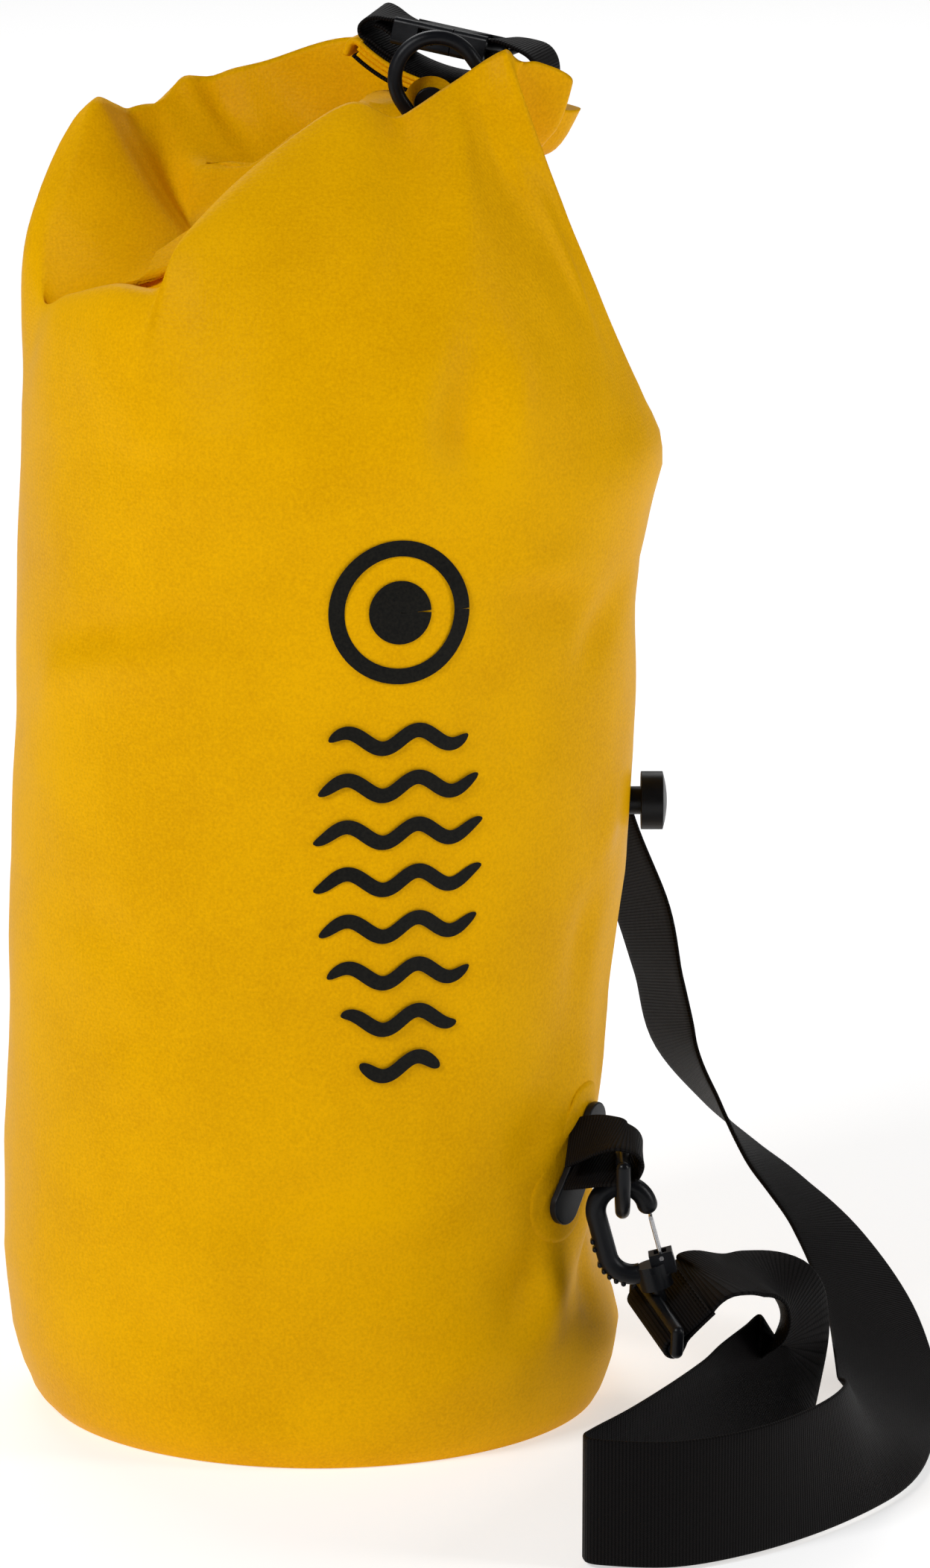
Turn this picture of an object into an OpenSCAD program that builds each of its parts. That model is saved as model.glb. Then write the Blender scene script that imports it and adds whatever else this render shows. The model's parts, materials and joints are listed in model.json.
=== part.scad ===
// Roll-top dry bag: a welded fabric tube with a rolled mouth clipped into a ring handle,
// an air valve, strap anchors with D-rings, and a webbing shoulder strap on swivel snap hooks.

/* [Bag] */
// Diameter of the filled fabric tube
bag_d = 238; // [230:1:244]
// Diameter of the flat base panel
base_d = 220; // [210:1:224]
// Height of the tube, where the folded top begins
tube_h = 396; // [392:1:400]
// Thickness that the coated fabric is drawn with
fabric_t = 1.2; // [0.8:0.1:1.6]

/* [Roll top] */
// Width of the rolled mouth and its closure strips
roll_w = 26; // [25.5:0.5:27]
// Mean radius of the arc that the rolled mouth is bent to
roll_r = 64.5; // [64:0.5:65]
// Thickness of the whole roll with both closure strips
roll_t = 9; // [8:0.5:9.5]

/* [Hardware] */
// Width of the buckle and anchor webbing
tab_w = 25; // [22:1:26]
// Diameter of the round bar that the D-rings are moulded from
ring_wire = 5.6; // [5:0.1:6]
// Diameter of the snap hook's body
hook_wire = 8; // [7:0.5:8.5]
// Travel of the air valve's knob
valve_travel = 4.5; // [3:0.5:4.5]

/* [Shoulder strap] */
// Width of the shoulder webbing
strap_w = 48; // [44:1:50]
// Thickness of the shoulder webbing
strap_t = 1.8; // [1.4:0.1:2.2]

/* [Hidden] */

$fn = 64;
bag_r = bag_d / 2;
base_r = base_d / 2;
gap = 0.3;                 // running gap between pieces that move apart
strip_t = 1.6;             // thickness of one closure strip
web_t = 1.6;               // thickness of the narrow webbing

// Ring handle: its chord's centre, and how it is turned
ring_at = [52, 16, 529];
ring_lean = 4;
ring_turn = -20;
ring_tilt = 10;
roll_in = roll_r - roll_t / 2;
roll_out = roll_r + roll_t / 2;
roll_up = 51.4;            // height of the arc's centre over the chord
roll_from = 239;
roll_to = 301;

// Buckle, along the ring's chord
buckle_z = 4;
buckle_lean = -11;         // the buckle hangs turned about the chord, its rear edge low
buckle_w = 32;
buckle_t = 10.5;
socket_x0 = -20;
seam_x = 4;
plug_x1 = 18;
bar_in = 3.5;              // a webbing bar's distance from the buckle's end
bar_r = 2.5;
fork_w = 27.4;             // clear width between the cheeks that hold a bar
arm_y = 10.1;              // an arm's distance from the buckle's middle

// Air valve, on the +X side
valve_z = 238;
stem_r = 5.5;
bush_r = 8;
head_r = 11.4;
head_x = bag_r + 6.8;

// Strap anchors: azimuth, height and tilt of each plate
lower_az = -33;
lower_z = 109;
lower_tilt = 37;
rear_az = 47;
rear_z = 366;
plate_l = 51;
plate_w = 15;
plate_t = 3;
patch_t = 0.8;
dring_r = 15.8;            // centre-line radius of a D-ring's arc
dring_side = 5;            // straight length between its arc and its bar

// Where the D-ring bars and the hooks' collars are
lower_bar_at = [117.4, -80, 115];
rear_bar_at = [141.1, 0, 366];                  // in the frame of its azimuth
top_bar_at = [53, -16, 512];
top_bar_rise = 35;                            // slope of the top D-ring's bar
top_plate_at = [44, -7, 504];
lower_hook_at = [131, -80, 63.6];
rear_hook_at = [146.5, 0, 312.2];             // in the frame of its azimuth
lower_hook_tilt = -15;
gate_z = 11.5;             // height of a gate's pivot over the hook's collar
hook_c = -5.4;             // offset of the hook's C from its swivel axis
hook_r = 10;               // centre-line radius of the C
hook_low = 17;
hook_high = 33;
swivel_r = 2.5;

// Strap bars: centre of each bar and how it is turned
lower_strap_bar = [130.5, -82, 49.8];
lower_bar_turn = 16;
lower_bar_dip = 9;
rear_strap_bar = [146.5, 0, 297];             // in the frame of its azimuth
loop_w = strap_w + 10;
loop_wire = 5;
lower_end_rise = 44;       // how steeply the sewn end climbs away from the lower bar
lower_end_l = 20;          // length of the sewn end, from its bar
rear_end_l = 7;

// Route of the shoulder strap from the lower bar to the rear bar: a point, then the way across
route = [
    [144.9, -80.1, 63.5, 0.27, -0.95, -0.16],
    [151, -78.5, 67.3, 0.17, -0.97, -0.1],
    [160, -72, 66.5, 0.05, -1, 0],
    [172, -65, 61.5, -0.15, -0.97, 0.15],
    [181.5, -58, 51, -0.42, -0.88, 0.2],
    [185, -52, 37, -0.56, -0.78, 0.26],
    [183.5, -54, 27.5, -0.6, -0.73, 0.33],
    [177, -68, 23.5, -0.57, -0.6, 0.5],
    [165, -94, 23, -0.5, -0.5, 0.65],
    [153, -122, 23.6, -0.35, -0.35, 0.85],
    [138, -154, 24.8, -0.2, -0.2, 0.95],
    [120, -188, 25.2, -0.08, -0.08, 1],
    [104, -214, 25.2, 0, 0, 1],
    [101, -222, 25.2, 0, 0, 1],
    [107, -228, 25.2, 0, 0, 1],
    [134, -230, 25.2, 0, 0, 1],
    [163, -214, 25.2, 0, 0, 1],
    [188, -188, 25.2, -0.1, 0, 1],
    [206, -156, 24.4, -0.3, 0, 0.9],
    [216, -110, 19.4, -0.7, 0, 0.7],
    [221, -50, 15.4, -0.75, -0.2, 0.5],
    [223, 0, 17, -0.8, -0.45, 0.35],
    [218, 32, 28, -0.8, -0.5, 0.3],
    [205, 56, 46, -0.6, -0.8, 0.2],
    [189, 68, 62, -0.3, -0.95, 0.1],
    [174, 76, 76, 0, -1, 0],
    [158, 83, 95, 0.25, -0.95, 0],
    [143, 90, 118, 0.4, -0.9, 0],
    [136, 94, 145, 0.4, -0.9, 0],
    [128, 98, 175, 0.5, -0.85, 0],
    [112, 102, 210, 0.6, -0.8, 0],
    [98, 104, 250, 0.68, -0.73, 0],
    [99, 106, 278, 0.71, -0.69, 0],
    [99.9, 107.1, 289.9, 0.73, -0.68, 0]
];
strap_steps = 2;

// Webbing loops of the anchors, seen from the side: height, and reach past the D-ring's bar
loop_h = 12;
loop_past = 7.5;

// Folded top, station by station round the bag: angle on the tube, rim point, inner point
neck = [
    [-40, [70, -26, 526], [79, -5, 504]],
    [-12, [95, 2, 510], [86, 4, 504]],
    [10, [99, 22, 502], [87, 13, 505]],
    [33, [84, 48, 508], [78, 19, 506]],
    [55, [52, 62, 518], [66, 24, 507]],
    [76, [14, 56, 530], [52, 29, 508]],
    [100, [-28, 66, 518], [38, 33, 510]],
    [122, [-56, 58, 511], [28, 36, 512]],
    [150, [-86, 28, 506], [22, 33, 512]],
    [172, [-97, 2, 474], [19, 28, 511]],
    [190, [-103, -22, 440], [17, 22, 510]],
    [222, [-66, -76, 448], [18, 17, 510]],
    [240, [-47, -80, 470], [26, 13, 509]],
    [258, [-20, -62, 493], [36, 9, 508]],
    [278, [14, -44, 513], [50, 4, 507]],
    [298, [32, -38, 511], [66, -1, 505]]
];
valley_z = 481;            // lowest level of the fold between the rim and the roll

// ---- helpers -------------------------------------------------------------------------

function unit(v) = v / norm(v);
function lerp(a, b, t) = a + (b - a) * t;
function head3(p) = [p[0], p[1], p[2]];
function tail3(p) = [p[3], p[4], p[5]];

// A smooth curve through four neighbouring points, between the middle two
function curve(a, b, c, d, t) =
    0.5 * (2 * b + (c - a) * t + (2 * a - 5 * b + 4 * c - d) * t * t
           + (3 * b - a - 3 * c + d) * t * t * t);
function pick(r, i) = r[max(0, min(len(r) - 1, i))];
function smooth(r, steps) = [
    for (i = [0 : len(r) - 2], s = [0 : steps - 1])
        curve(pick(r, i - 1), r[i], r[i + 1], pick(r, i + 2), s / steps),
    r[len(r) - 1]
];

// Flat webbing swept along a route: eight corners to a ring
function web_ring(p, fwd, w, t) =
    let (a = unit(tail3(p) - fwd * (tail3(p) * fwd)), n = cross(fwd, a), c = head3(p))
    [for (q = [[-1, -1], [-0.4, -1], [0.4, -1], [1, -1], [1, 1], [0.4, 1], [-0.4, 1], [-1, 1]])
        c + a * (q[0] * w / 2) + n * (q[1] * t / 2)];

module webbing(route, w, t, steps) {
    r = smooth(route, steps);
    n = len(r);
    pts = [for (i = [0 : n - 1])
        each web_ring(r[i], unit(head3(pick(r, i + 1)) - head3(pick(r, i - 1))), w, t)];
    sides = [for (i = [0 : n - 2], k = [0 : 7]) let (a = i * 8 + k, b = i * 8 + (k + 1) % 8)
        each [[a, b, b + 8], [a, b + 8, a + 8]]];
    polyhedron(pts, concat(sides, [[for (k = [7 : -1 : 0]) k], [for (k = [0 : 7]) (n - 1) * 8 + k]]));
}

module ring_frame() {
    translate(ring_at) rotate([0, 0, ring_turn]) rotate([ring_lean, 0, 0]) rotate([0, ring_tilt, 0])
        children();
}

// The ring's frame turned about the buckle's own middle line
module buckle_frame() {
    ring_frame() at_buckle() children();
}

module at_buckle() {
    translate([0, 0, buckle_z]) rotate([buckle_lean, 0, 0]) translate([0, 0, -buckle_z]) children();
}

// Part of a flat ring about the roll's centre, between two angles
module arc_band(r1, r2, w, a0, a1) {
    far = r2 * 2;
    translate([0, w / 2, roll_up]) rotate([90, 0, 0]) linear_extrude(w) intersection() {
        difference() {
            circle(r2);
            circle(r1);
        }
        polygon([[0, 0], for (k = [0 : 3]) far * [cos(lerp(a0, a1, k / 3)), sin(lerp(a0, a1, k / 3))]]);
    }
}

module box_at(lo, hi) {
    translate(lo) cube(hi - lo);
}

// A round bar across the buckle or a loop, along Y
module bar_y(at, r, l) {
    translate(at) rotate([90, 0, 0]) cylinder(r = r, h = l, center = true);
}

// An oblong with round ends, upright in the YZ plane and pushed out along X
module oblong(l, w, depth) {
    rotate([90, 0, 90]) linear_extrude(depth) {
        square([w, l - w], center = true);
        translate([0, (l - w) / 2]) circle(w / 2);
        translate([0, -(l - w) / 2]) circle(w / 2);
    }
}

// A shell of the tube's curve, cut to an oblong
module on_tube(r1, r2, l, w, az, z, tilt) {
    rotate([0, 0, az]) intersection() {
        difference() {
            cylinder(r = r2, h = 500);
            translate([0, 0, -1]) cylinder(r = r1, h = 502);
        }
        translate([bag_r - 20, 0, z]) rotate([-tilt, 0, 0]) oblong(l, w, 60);
    }
}

// A D-ring hanging from its bar, which lies along Y through the origin
module d_ring(side) {
    r = ring_wire / 2;
    bar_y([0, 0, 0], r, dring_r * 2);
    for (s = [-1, 1]) {
        translate([0, s * dring_r, 0]) sphere(r);
        translate([0, s * dring_r, -side]) cylinder(r = r, h = side);
    }
    translate([0, 0, -side]) rotate([0, 90, 0]) rotate([0, 0, -90])
        rotate_extrude(angle = 180) translate([dring_r, 0]) circle(r);
}

// A snap hook's body, open at +X, with its swivel axis along Z
module hook_body() {
    r = hook_wire / 2;
    translate([hook_c, 0, hook_high]) rotate([90, 0, 0]) {
        rotate_extrude(angle = 180) translate([hook_r, 0]) circle(r);
    }
    translate([hook_c - hook_r, 0, hook_low]) cylinder(r = r, h = hook_high - hook_low);
    translate([hook_c, 0, hook_low]) rotate([90, 0, 0]) rotate([0, 0, 180])
        rotate_extrude(angle = 96) translate([hook_r, 0]) circle(r);
    translate([hook_c + hook_r, 0, hook_high]) sphere(r);
    difference() {
        union() {
            cylinder(r = 6.5, h = 9.5);
            box_at([0, -4.2, 5], [9.2, 4.2, 13.5]);
        }
        translate([0, 0, -1]) cylinder(r = swivel_r + 0.08, h = 6);
        translate([0, 0, 3]) cylinder(r = 4.3, h = 4);
        box_at([2.1, -2.6, 9.5], [7.1, 2.6, 15]);
        bar_y([hook_c + hook_r, 0, gate_z], 0.96, 10);
    }
}

// The sprung wire gate, from its pivot pin up to the inside of the hook's nose
module hook_gate() {
    x = hook_c + hook_r;
    gate_top = hook_high - hook_wire / 2 - 1.3;
    for (s = [-1, 1]) {
        translate([x, s * 1.6, gate_z]) cylinder(r = 0.8, h = gate_top - gate_z);
    }
    bar_y([x, 0, gate_z], 0.9, 8);
    bar_y([x, 0, gate_top], 0.8, 4.8);
}

// The swivel pin with its head, and the slot that the strap is sewn round
module swivel_pin() {
    translate([0, 0, -6]) cylinder(r = swivel_r, h = 11);
    translate([0, 0, 3.3]) cylinder(r = 4, h = 3.2);
}

module strap_slot(height) {
    r = loop_wire / 2;
    bar_y([0, 0, 0], r, loop_w - loop_wire);
    bar_y([0, 0, height], r, loop_w - loop_wire);
    for (s = [-1, 1]) {
        translate([0, s * (loop_w - loop_wire) / 2, 0]) {
            cylinder(r = r, h = height);
            sphere(r);
            translate([0, 0, height]) sphere(r);
        }
    }
}

// The strap's end, folded round a bar along Y and running out along X
module strap_end(reach) {
    r = loop_wire / 2 + 0.15;
    difference() {
        union() {
            bar_y([0, 0, 0], r + strap_t, strap_w);
            box_at([0, -strap_w / 2, -strap_t], [reach, strap_w / 2, strap_t]);
        }
        bar_y([0, 0, 0], r, strap_w + 2);
    }
}

module at_lower_bar() {
    translate(lower_strap_bar) rotate([0, 0, lower_bar_turn]) rotate([lower_bar_dip, 0, 0])
        children();
}

// ---- bag -----------------------------------------------------------------------------

module tube_wall() {
    t = fabric_t;
    color("gold") difference() {
        rotate_extrude($fn = 128) polygon([
            [base_r - t, 0], [base_r, 0], [base_r + 5, 10], [bag_r - 1, 30], [bag_r, 60],
            [bag_r, tube_h], [bag_r - t, tube_h], [bag_r - t, 60], [bag_r - 1 - t, 30],
            [base_r + 5 - t, 10]
        ]);
        translate([bag_r - 20, 0, valve_z]) rotate([0, 90, 0]) cylinder(r = bush_r + 0.05, h = 40);
    }
}

module base_panel() {
    color("gold") cylinder(r = base_r - fabric_t, h = fabric_t, $fn = 128);
}

module base_seam_tape() {
    color("goldenrod") translate([0, 0, fabric_t]) difference() {
        cylinder(r = base_r - fabric_t, h = 8, $fn = 128);
        translate([0, 0, -1]) cylinder(r = base_r - 2 * fabric_t, h = 10, $fn = 128);
    }
}

module side_seam_tape() {
    color("goldenrod") on_tube(bag_r, bag_r + patch_t, 320, 24, 100, 226, 0);
}

// Outer wall up to the folds' rim, then the gusset down to the throat under the roll
module neck_fabric() {
    n = len(neck);
    foot = [for (s = neck) [bag_r * cos(s[0]), bag_r * sin(s[0]), tube_h]];
    mid = [for (i = [0 : n - 1])
        lerp(foot[i], neck[i][1], 0.5) + 5 * [cos(neck[i][0]), sin(neck[i][0]), 0]];
    rim = [for (s = neck) s[1]];
    dip = [for (s = neck) let (p = lerp(s[1], s[2], 0.8)) [p[0], p[1], min(p[2], valley_z)]];
    core = [for (s = neck) s[2]];
    rows = 5;
    sides = [for (j = [0 : rows - 2], i = [0 : n - 1])
        each [[j * n + i, (j + 1) * n + i, j * n + (i + 1) % n],
              [j * n + (i + 1) % n, (j + 1) * n + i, (j + 1) * n + (i + 1) % n]]];
    hub = len(foot) * rows;
    color("gold") difference() {
        polyhedron(
            concat(foot, mid, rim, dip, core, [[52, 16, 507]]),
            concat(sides, [[for (i = [0 : n - 1]) i]],
                   [for (i = [0 : n - 1]) [(rows - 1) * n + i, hub, (rows - 1) * n + (i + 1) % n]]));
        translate([0, 0, tube_h - 1]) cylinder(r1 = bag_r - 6, r2 = 50, h = 52);
    }
}

// ---- roll top and buckle -------------------------------------------------------------

module rolled_fabric() {
    color("gold") ring_frame() difference() {
        arc_band(roll_in + strip_t, roll_out - strip_t, roll_w, roll_from, roll_to);
        arc_band(roll_r - 0.6, roll_r + 0.6, roll_w - 8, roll_from + 4, roll_to - 4);
    }
}

module stiffener_strip() {
    color("dimgray") ring_frame()
        arc_band(roll_r - 0.6, roll_r + 0.6, roll_w - 8, roll_from + 4, roll_to - 4);
}

module closure_strip_inner() {
    color("black") ring_frame()
        arc_band(roll_in, roll_in + strip_t, roll_w, roll_from, roll_to);
}

module closure_strip_outer() {
    color("black") ring_frame()
        arc_band(roll_out - strip_t, roll_out, roll_w, roll_from, roll_to);
}

// A buckle half's block with round long edges
module buckle_block(x0, x1) {
    r = 2;
    w = buckle_w / 2;
    t = buckle_t / 2;
    translate([x0, 0, buckle_z]) rotate([90, 0, 90]) linear_extrude(x1 - x0) {
        square([buckle_w, buckle_t - 2 * r], center = true);
        square([buckle_w - 2 * r, buckle_t], center = true);
        for (sy = [-1, 1], sz = [-1, 1]) {
            translate([sy * (w - r), sz * (t - r)]) circle(r);
        }
    }
}

module buckle_socket() {
    z = buckle_z;
    color("#181818") buckle_frame() {
        difference() {
            buckle_block(socket_x0, seam_x);
            box_at([socket_x0 - 1, -fork_w / 2, -10], [socket_x0 + 8, fork_w / 2, 20]);
            box_at([seam_x - 14.5, -13, z - 3.2], [seam_x + 1, 13, z + 3.2]);
            box_at([seam_x - 13.8, -20, z - 2.8], [seam_x - 7, 20, z + 2.8]);
        }
        bar_y([socket_x0 + bar_in, 0, z], bar_r, fork_w);
    }
}

module buckle_plug() {
    z = buckle_z;
    color("#181818") buckle_frame() {
        difference() {
            buckle_block(seam_x + gap, plug_x1);
            box_at([plug_x1 - 8, -fork_w / 2, -10], [plug_x1 + 1, fork_w / 2, 20]);
        }
        bar_y([plug_x1 - bar_in, 0, z], bar_r, fork_w);
        box_at([seam_x - 12, -2.2, z - 2.6], [seam_x + gap, 2.2, z + 2.6]);
    }
}

module latch_arm(side) {
    z = buckle_z;
    color("#202020") buckle_frame() mirror([0, side < 0 ? 1 : 0, 0]) {
        box_at([seam_x - 13.8, arm_y - 1.5, z - 2.4], [seam_x - 1.9, arm_y + 1.5, z + 2.4]);
        translate([seam_x - 1.9, arm_y, z - 2.4]) cylinder(r = 1.5, h = 4.8);
        box_at([seam_x - 12.6, arm_y, z - 2.4], [seam_x - 7.4, buckle_w / 2 - 0.8, z + 2.4]);
    }
}

module latch_arm_front() {
    latch_arm(-1);
}

module latch_arm_rear() {
    latch_arm(1);
}

// A flat ribbon that follows a line in the plane of the ring
module ribbon(line, w, t) {
    translate([0, w / 2, 0]) rotate([90, 0, 0]) linear_extrude(w) {
        for (i = [0 : len(line) - 2]) {
            d = line[i + 1] - line[i];
            translate(line[i]) rotate(atan2(d[1], d[0])) translate([0, -t / 2]) square([norm(d), t]);
        }
        for (p = line) {
            translate(p) circle(t / 2 + 0.04);
        }
    }
}

module web_tab_left() {
    x = socket_x0 + bar_in;
    line = [[-19, 5], [-26, 8.5], [-31, 9.3], [-34, 6.5], [-33.5, 2.5], [-30.3, 0.5]];
    color("black") ring_frame() difference() {
        union() {
            at_buckle() bar_y([x, 0, buckle_z], bar_r + 0.1 + web_t, tab_w);
            ribbon(line, tab_w, 1.4 * web_t);
            arc_band(roll_in - web_t, roll_in, tab_w, 239.5, 247.5);
        }
        at_buckle() bar_y([x, 0, buckle_z], bar_r + 0.1, tab_w + 2);
        arc_band(roll_in, roll_out, roll_w + 2, roll_from, roll_to);
    }
}

module web_tab_right() {
    x = plug_x1 - bar_in;
    line = [[17, 6], [21, 7.6], [28, 8], [35, 7.2], [39, 3], [40, -5], [39.5, -10], [37, -12],
            [34.2, -10.4]];
    color("black") ring_frame() difference() {
        union() {
            at_buckle() bar_y([x, 0, buckle_z], bar_r + 0.1 + web_t, tab_w);
            ribbon(line, tab_w, 1.4 * web_t);
            arc_band(roll_out, roll_out + web_t, tab_w, 288, 300.5);
        }
        at_buckle() bar_y([x, 0, buckle_z], bar_r + 0.1, tab_w + 2);
        arc_band(roll_in, roll_out, roll_w + 2, roll_from, roll_to);
    }
}

// ---- air valve -----------------------------------------------------------------------

module at_valve() {
    translate([0, 0, valve_z]) rotate([0, 90, 0]) children();
}

module valve_disc(x0, x1, r) {
    translate([0, 0, x0]) cylinder(r = r, h = x1 - x0);
}

module valve_bush() {
    color("#181818") at_valve() difference() {
        union() {
            valve_disc(bag_r - 11, bag_r + 0.6, bush_r);
            valve_disc(bag_r - 5.5, bag_r - 3.5, 14);
            valve_disc(bag_r + 0.1, bag_r + 1.4, 10);
        }
        valve_disc(bag_r - 20, bag_r + 5, stem_r + 0.06);
    }
}

module valve_gasket() {
    color("dimgray") at_valve() difference() {
        valve_disc(bag_r - 3.5, bag_r - 2.3, 13);
        valve_disc(bag_r - 5, bag_r, bush_r);
    }
}

module valve_nut() {
    color("#202020") at_valve() difference() {
        translate([0, 0, bag_r - 11]) cylinder(r = 12.5, h = 5.5, $fn = 6);
        valve_disc(bag_r - 12, bag_r, bush_r);
    }
}

module valve_knob() {
    color("#181818") at_valve() {
        difference() {
            valve_disc(bag_r - 17, head_x, stem_r);
            translate([0, 0, bag_r - 4]) rotate_extrude() translate([stem_r + 0.1, 0]) circle(1);
        }
        translate([0, 0, head_x]) rotate_extrude() intersection() {
            translate([0, -29]) circle(39.2);
            square([head_r, 12]);
        }
    }
}

module valve_o_ring() {
    color("firebrick") at_valve() translate([0, 0, bag_r - 4]) rotate_extrude()
        translate([stem_r - 0.3, 0]) circle(0.3, $fn = 16);
}

module valve_retainer() {
    color("gray") at_valve() difference() {
        valve_disc(bag_r - 13, bag_r - 11.4, 8.5);
        valve_disc(bag_r - 14, bag_r - 10, stem_r);
    }
}

// ---- strap anchors -------------------------------------------------------------------

module lower_patch() {
    color("gold") on_tube(bag_r, bag_r + patch_t, 66, 32, lower_az, lower_z, lower_tilt);
}

module lower_plate() {
    color("#181818") on_tube(bag_r + patch_t, bag_r + patch_t + plate_t, plate_l, plate_w,
                             lower_az, lower_z, lower_tilt);
}

// A webbing loop round a bar along Y through the origin, with its two legs running back to X < 0
module loop_band(back) {
    r = loop_h / 2;
    x = loop_past - r;
    rotate([90, 0, 0]) translate([0, 0, -tab_w / 2]) linear_extrude(tab_w) difference() {
        union() {
            translate([x, 0]) circle(r);
            translate([-back, -r]) square([back + x, 2 * r]);
        }
        translate([x, 0]) circle(r - web_t);
        translate([-back - 1, web_t - r]) square([back + 1 + x, 2 * (r - web_t)]);
    }
}

module lower_loop() {
    color("black") difference() {
        translate(lower_bar_at) loop_band(20);
        cylinder(r = bag_r + patch_t, h = 200);
        on_tube(bag_r, bag_r + patch_t + plate_t, plate_l, plate_w, lower_az, lower_z, lower_tilt);
    }
}

module lower_d_ring() {
    color("#181818") translate(lower_bar_at) d_ring(dring_side);
}

module rear_patch() {
    color("gold") on_tube(bag_r, bag_r + patch_t, 50, 32, rear_az, rear_z, 90);
}

module rear_plate() {
    color("#181818") on_tube(bag_r + patch_t, bag_r + patch_t + plate_t, 44, plate_w,
                             rear_az, rear_z, 90);
}

module rear_loop() {
    color("black") difference() {
        rotate([0, 0, rear_az]) translate(rear_bar_at) loop_band(30);
        cylinder(r = bag_r + patch_t, h = 400);
        on_tube(bag_r, bag_r + patch_t + plate_t, 44, plate_w, rear_az, rear_z, 90);
    }
}

module rear_d_ring() {
    color("#181818") rotate([0, 0, rear_az]) translate(rear_bar_at) d_ring(dring_side);
}

module at_top_plate() {
    translate(top_plate_at) rotate([0, 0, -90]) children();
}

// The top D-ring's frame: Y along its bar, X toward the front
module at_top_bar() {
    translate(top_bar_at) rotate([0, -top_bar_rise, 0]) rotate([0, 0, -90]) children();
}

module top_patch() {
    color("gold") at_top_plate() translate([-patch_t, 0, -1]) oblong(38, 21, patch_t);
}

module top_plate() {
    color("#181818") at_top_plate() oblong(28, 13, plate_t);
}

module top_loop() {
    color("black") difference() {
        at_top_bar() loop_band(top_plate_at[1] - top_bar_at[1]);
        at_top_plate() oblong(28, 13, plate_t);
    }
}

module top_d_ring() {
    color("#181818") at_top_bar() rotate([180, 0, 0]) d_ring(dring_side + 7);
}

// ---- snap hooks and strap ------------------------------------------------------------

module at_lower_hook() {
    translate(lower_hook_at) rotate([0, lower_hook_tilt, 0]) children();
}

module at_rear_hook() {
    rotate([0, 0, rear_az]) translate(rear_hook_at) children();
}

module lower_hook() {
    color("#181818") at_lower_hook() hook_body();
}

module lower_hook_gate() {
    color("silver") at_lower_hook() hook_gate();
}

module lower_swivel() {
    color("#202020") {
        at_lower_hook() swivel_pin();
        at_lower_bar() strap_slot(8.5);
    }
}

module lower_strap_end() {
    color("black") at_lower_bar() rotate([0, -lower_end_rise, 0]) strap_end(lower_end_l);
}

module rear_hook() {
    color("#181818") at_rear_hook() hook_body();
}

module rear_hook_gate() {
    color("silver") at_rear_hook() hook_gate();
}

module rear_swivel() {
    color("#202020") {
        at_rear_hook() swivel_pin();
        rotate([0, 0, rear_az]) translate(rear_strap_bar) strap_slot(8.5);
    }
}

module rear_strap_end() {
    color("black") rotate([0, 0, rear_az]) translate(rear_strap_bar) rotate([0, 90, 0])
        strap_end(rear_end_l);
}

module shoulder_strap() {
    color("black") webbing(route, strap_w, strap_t, strap_steps);
}

// Two rows of thread across a sewn end of the given length
module thread_rows(reach) {
    for (x = [reach - 2.4, reach - 0.8]) {
        box_at([x, -strap_w / 2 + 3, strap_t], [x + 0.6, strap_w / 2 - 3, strap_t + 0.3]);
    }
}

module strap_stitching() {
    color("dimgray") {
        at_lower_bar() rotate([0, -lower_end_rise, 0]) thread_rows(lower_end_l);
        rotate([0, 0, rear_az]) translate(rear_strap_bar) rotate([0, 90, 0]) thread_rows(rear_end_l);
    }
}

tube_wall();
base_panel();
base_seam_tape();
side_seam_tape();
neck_fabric();
rolled_fabric();
stiffener_strip();
closure_strip_inner();
closure_strip_outer();
buckle_socket();
buckle_plug();
latch_arm_front();
latch_arm_rear();
web_tab_left();
web_tab_right();
valve_bush();
valve_gasket();
valve_nut();
valve_knob();
valve_o_ring();
valve_retainer();
top_patch();
top_plate();
top_loop();
top_d_ring();
rear_patch();
rear_plate();
rear_loop();
rear_d_ring();
lower_patch();
lower_plate();
lower_loop();
lower_d_ring();
rear_hook();
rear_hook_gate();
rear_swivel();
rear_strap_end();
lower_hook();
lower_hook_gate();
lower_swivel();
lower_strap_end();
shoulder_strap();
strap_stitching();
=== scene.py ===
"""Roll-top dry bag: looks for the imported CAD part. Lengths in tables are in millimetres."""
import json
import math

import bmesh
import bpy
import numpy as np
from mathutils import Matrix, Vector, noise

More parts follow.
